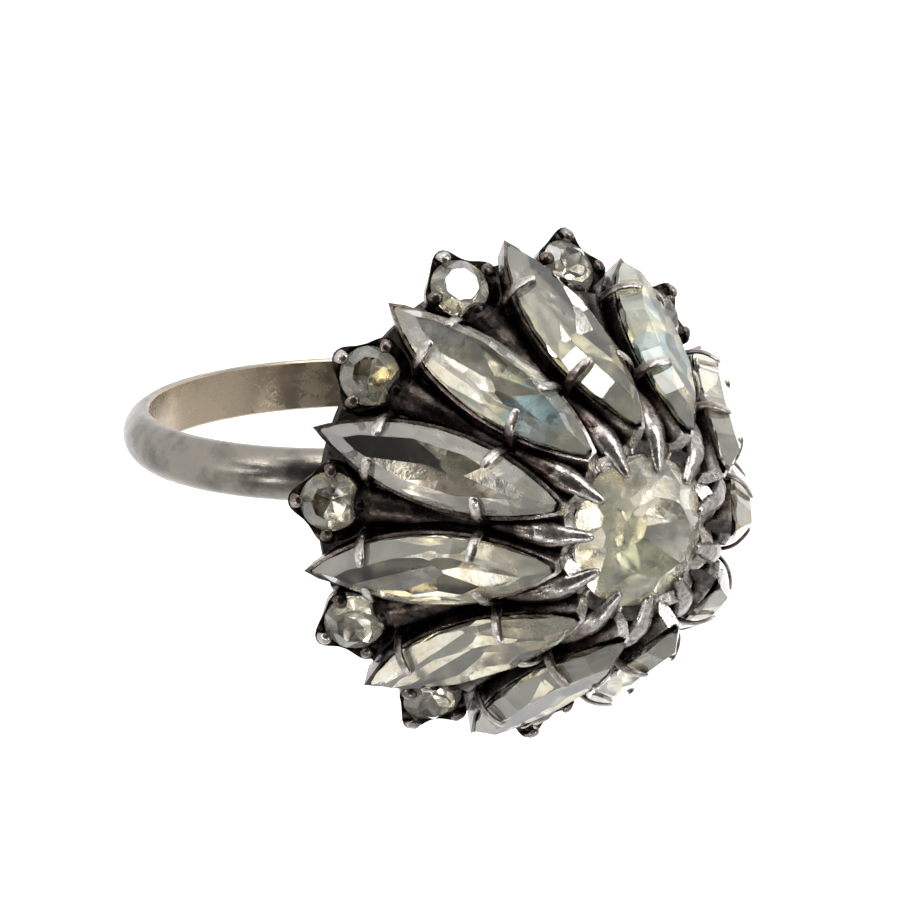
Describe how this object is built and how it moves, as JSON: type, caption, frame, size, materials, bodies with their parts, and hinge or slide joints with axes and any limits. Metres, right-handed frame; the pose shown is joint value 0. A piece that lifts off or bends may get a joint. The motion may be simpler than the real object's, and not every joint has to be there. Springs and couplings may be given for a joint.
{
  "type": "cocktail ring",
  "caption": "Cocktail ring: a plain slim band under a steep dome of radiating navette stones, with small round stones round its rim and a large round stone on top.",
  "frame": {"origin": "centre of the finger bore, half way across the band", "axes": "+Z from the bore out through the middle of the dome, +Y along the finger bore, +X across the hand; the ring is shown with the dome upwards, as worn"},
  "size_m": [0.0213, 0.0213, 0.0335],
  "materials": {
    "band_metal": "worn grey-silver plating with fine scratches",
    "aged_metal": "darkened silver plating, near black in the recesses and bright on the worn edges",
    "navette_glass": "faceted grey-green foil-backed glass",
    "rim_glass": "faceted smoky to straw-coloured foil-backed glass",
    "centre_glass": "faceted clear foil-backed glass"
  },
  "bodies": {
    "root": {"shank": "band_metal", "gallery": "aged_metal", "dome": "aged_metal", "centre_cup": "aged_metal", "centre_stone": "centre_glass", "navette_cup_01": "aged_metal", "navette_cup_02": "aged_metal", "navette_cup_03": "aged_metal", "navette_cup_04": "aged_metal", "navette_cup_05": "aged_metal", "navette_cup_06": "aged_metal", "navette_cup_07": "aged_metal", "navette_cup_08": "aged_metal", "navette_cup_09": "aged_metal", "navette_cup_10": "aged_metal", "navette_cup_11": "aged_metal", "navette_stone_01": "navette_glass", "navette_stone_02": "navette_glass", "navette_stone_03": "navette_glass", "navette_stone_04": "navette_glass", "navette_stone_05": "navette_glass", "navette_stone_06": "navette_glass", "navette_stone_07": "navette_glass", "navette_stone_08": "navette_glass", "navette_stone_09": "navette_glass", "navette_stone_10": "navette_glass", "navette_stone_11": "navette_glass", "chaton_cup_01": "aged_metal", "chaton_cup_02": "aged_metal", "chaton_cup_03": "aged_metal", "chaton_cup_04": "aged_metal", "chaton_cup_05": "aged_metal", "chaton_cup_06": "aged_metal", "chaton_cup_07": "aged_metal", "chaton_cup_08": "aged_metal", "chaton_cup_09": "aged_metal", "chaton_cup_10": "aged_metal", "chaton_cup_11": "aged_metal", "chaton_stone_01": "rim_glass", "chaton_stone_02": "rim_glass", "chaton_stone_03": "rim_glass", "chaton_stone_04": "rim_glass", "chaton_stone_05": "rim_glass", "chaton_stone_06": "rim_glass", "chaton_stone_07": "rim_glass", "chaton_stone_08": "rim_glass", "chaton_stone_09": "rim_glass", "chaton_stone_10": "rim_glass", "chaton_stone_11": "rim_glass"}
  },
  "joints": []
}
